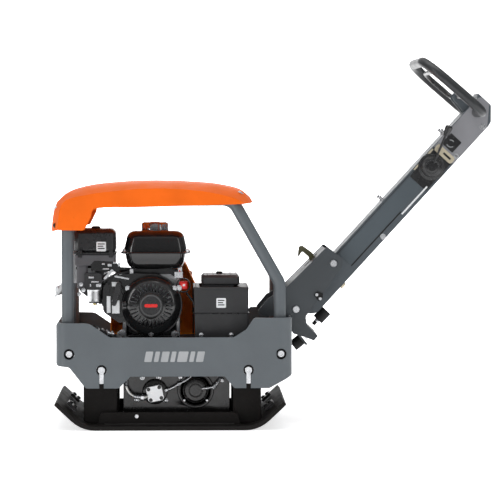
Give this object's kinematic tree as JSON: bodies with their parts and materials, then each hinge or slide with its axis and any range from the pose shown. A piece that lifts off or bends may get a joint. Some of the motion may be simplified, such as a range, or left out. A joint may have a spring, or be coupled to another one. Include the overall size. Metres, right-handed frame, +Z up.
{
  "type": "reversible plate compactor",
  "caption": "Reversible vibratory plate compactor: sole plate with twin-shaft exciter, rubber-mounted tub chassis, petrol engine, guard hood and folding drawbar.",
  "frame": {"origin": "centre of the flat sole under the base plate", "axes": "+Z up, +X towards the operator's handle, -Y on the engine's recoil side"},
  "size_m": [1.287, 0.5, 1.0703],
  "materials": {
    "base_black": "gloss black paint, scuffed",
    "exciter_black": "black painted casting",
    "cast_aluminium": "as cast",
    "steel": "machined",
    "zinc_steel": "zinc plated",
    "muffler_steel": "heat-dulled",
    "yellow_chromate": "yellow chromate plated",
    "chrome": "polished",
    "grey_paint": "satin powder coat",
    "drawbar_paint": "satin powder coat",
    "handle_black": "satin powder coat",
    "orange_paint": "satin powder coat",
    "engine_black": "gloss paint",
    "black_plastic": "fine grained",
    "red_plastic": "moulded",
    "rubber": "matt",
    "hose": "matt"
  },
  "bodies": {
    "base": {"base_plate": "base_black", "column_front_left": "base_black", "column_front_right": "base_black", "column_rear_left": "base_black", "column_rear_right": "base_black", "buffer_front_left": "rubber", "buffer_front_right": "rubber", "buffer_rear_left": "rubber", "buffer_rear_right": "rubber", "bearing_front_left": "steel", "bearing_front_right": "steel", "bearing_rear_left": "steel", "bearing_rear_right": "steel", "exciter_housing": "exciter_black", "exciter_cover": "exciter_black", "phase_cylinder": "cast_aluminium", "hydraulic_hose": "hose"},
    "front_exciter": {"eccentric_shaft_front": "steel", "timing_gear_front": "steel", "exciter_pulley": "steel"},
    "rear_exciter": {"eccentric_shaft_rear": "steel", "timing_gear_rear": "steel"},
    "chassis": {"chassis": "grey_paint", "guard_tube_left": "grey_paint", "guard_tube_right": "grey_paint", "guard_crossbar": "grey_paint", "hood": "orange_paint", "crankcase": "cast_aluminium", "cylinder": "cast_aluminium", "fan_shroud": "engine_black", "recoil_cover": "engine_black", "fuel_tank": "engine_black", "air_cleaner_base": "black_plastic", "air_cleaner_cover": "black_plastic", "carburettor": "cast_aluminium", "muffler": "muffler_steel", "v_belt": "rubber", "belt_guard": "orange_paint", "battery_box": "black_plastic", "battery_lid": "black_plastic", "fold_pin": "zinc_steel"},
    "crank": {"crankshaft": "steel", "flywheel": "cast_aluminium", "clutch": "steel"},
    "starter": {"starter_grip": "black_plastic"},
    "fuel_cap": {"fuel_cap": "chrome"},
    "engine_switch": {"engine_switch": "red_plastic"},
    "choke": {"choke_lever": "black_plastic"},
    "hitch": {"hitch": "drawbar_paint", "arm_pin": "zinc_steel", "stop_buffer": "rubber"},
    "drawbar": {"drawbar": "drawbar_paint", "arm_buffer": "rubber", "handle_loop": "handle_black", "throttle_housing": "black_plastic"},
    "bail": {"control_bail": "black_plastic"},
    "throttle": {"throttle_lever": "black_plastic"},
    "hook": {"transport_hook": "yellow_chromate"}
  },
  "joints": [
    {"name": "suspension", "type": "slide", "parent": "base", "child": "chassis", "axis": [0, 0, 1], "range_m": [-0.006, 0.006], "stiffness_N_per_m": 200000, "springref_m": 0.00605, "deforming": ["v_belt"]},
    {"name": "crank_spin", "type": "hinge", "parent": "chassis", "child": "crank", "pos_m": [-0.056, 0, 0.352], "axis": [0, 1, 0], "continuous": true},
    {"name": "front_exciter_spin", "type": "hinge", "parent": "base", "child": "front_exciter", "pos_m": [-0.045, 0, 0.104], "axis": [0, 1, 0], "continuous": true},
    {"name": "rear_exciter_spin", "type": "hinge", "parent": "base", "child": "rear_exciter", "pos_m": [0.073, 0, 0.104], "axis": [0, 1, 0], "continuous": true},
    {"name": "starter_pull", "type": "slide", "parent": "chassis", "child": "starter", "axis": [-0.499, -0.7585, 0.4192], "range_m": [0, 0.45], "stiffness_N_per_m": 25, "springref_m": -0.35},
    {"name": "fuel_cap_twist", "type": "hinge", "parent": "chassis", "child": "fuel_cap", "pos_m": [-0.0455, -0.014, 0.58], "axis": [0, 0, 1], "range_deg": [0, 90]},
    {"name": "engine_switch_turn", "type": "hinge", "parent": "chassis", "child": "engine_switch", "pos_m": [0.038, -0.1, 0.408], "axis": [0, -1, 0], "range_deg": [0, 45]},
    {"name": "choke_turn", "type": "hinge", "parent": "chassis", "child": "choke", "pos_m": [-0.206, -0.1085, 0.41], "axis": [0, -1, 0], "range_deg": [0, 55]},
    {"name": "handle_fold", "type": "hinge", "parent": "chassis", "child": "hitch", "pos_m": [0.367, 0, 0.337], "axis": [0, -1, 0], "range_deg": [0, 41]},
    {"name": "drawbar_height", "type": "hinge", "parent": "hitch", "child": "drawbar", "pos_m": [0.476, 0, 0.471], "axis": [0, -1, 0], "range_deg": [0, 16]},
    {"name": "control_bail_tilt", "type": "hinge", "parent": "drawbar", "child": "bail", "pos_m": [0.84543, 0, 0.957], "axis": [0, -1, 0], "range_deg": [-22, 22], "stiffness_Nm_per_rad": 3},
    {"name": "throttle_turn", "type": "hinge", "parent": "drawbar", "child": "throttle", "pos_m": [0.76596, -0.0756, 0.75191], "axis": [0, -1, 0], "range_deg": [0, 70]},
    {"name": "transport_hook_turn", "type": "hinge", "parent": "hitch", "child": "hook", "pos_m": [0.419, 0, 0.4755], "axis": [0, -1, 0], "range_deg": [-38, 20]}
  ],
  "couplings": [
    {"joint": "front_exciter_spin", "follows": "crank_spin", "ratio": 1},
    {"joint": "rear_exciter_spin", "follows": "crank_spin", "ratio": -1}
  ]
}
